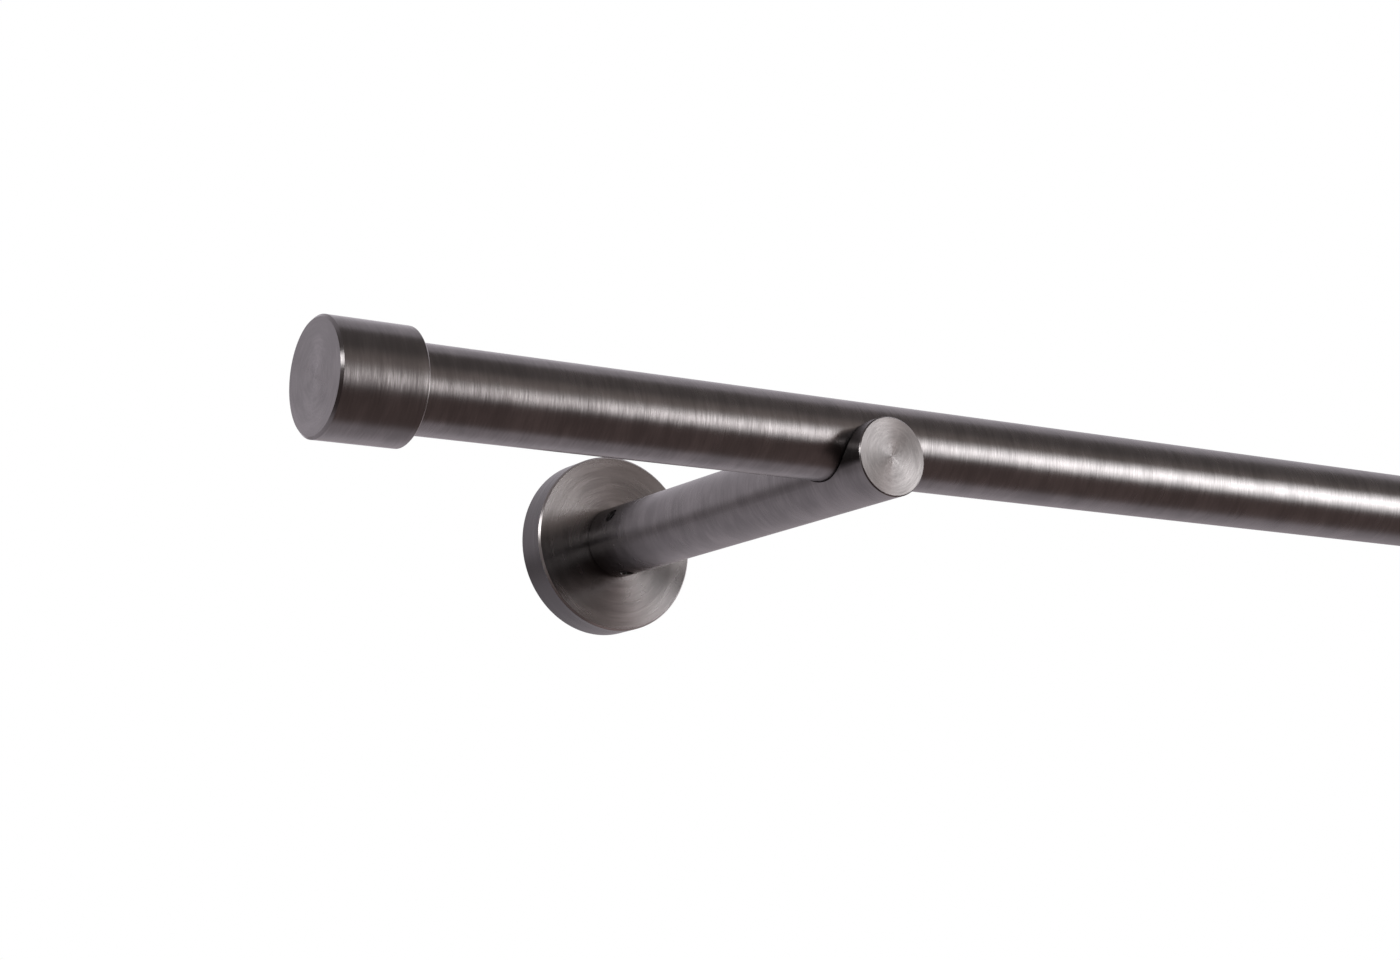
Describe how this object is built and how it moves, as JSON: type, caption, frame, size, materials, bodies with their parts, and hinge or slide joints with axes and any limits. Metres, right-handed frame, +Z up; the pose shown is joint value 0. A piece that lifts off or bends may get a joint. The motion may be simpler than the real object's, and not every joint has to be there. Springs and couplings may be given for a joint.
{
  "type": "curtain rod",
  "caption": "Round metal curtain rod with cylindrical end caps, lying in the open saddles of bar brackets with round wall roses; caps pull off to thread rings.",
  "frame": {"origin": "on the wall, midway between the two brackets, at the height of the bracket arms' axes", "axes": "+X along the rod, +Y into the wall, +Z up"},
  "size_m": [0.818, 0.1321, 0.0488],
  "materials": {
    "gunmetal": "brushed dark gunmetal plating",
    "zinc_steel": "zinc plated",
    "black_oxide": "black oxide",
    "nylon": "moulded"
  },
  "bodies": {
    "rod_and_brackets": {"tube": "gunmetal", "left_arm": "gunmetal", "left_rose": "gunmetal", "left_wall_plate": "zinc_steel", "left_spigot": "gunmetal", "left_grub_screws": "black_oxide", "right_arm": "gunmetal", "right_rose": "gunmetal", "right_wall_plate": "zinc_steel", "right_spigot": "gunmetal", "right_grub_screws": "black_oxide"},
    "left_cap": {"left_end_cap": "gunmetal", "left_cap_plug": "nylon", "left_cap_screw": "zinc_steel"},
    "right_cap": {"right_end_cap": "gunmetal", "right_cap_plug": "nylon", "right_cap_screw": "zinc_steel"}
  },
  "joints": [
    {"name": "left_cap_pull", "type": "slide", "parent": "rod_and_brackets", "child": "left_cap", "axis": [-1, 0, 0], "range_m": [0, 0.03]},
    {"name": "right_cap_pull", "type": "slide", "parent": "rod_and_brackets", "child": "right_cap", "axis": [1, 0, 0], "range_m": [0, 0.03]}
  ]
}
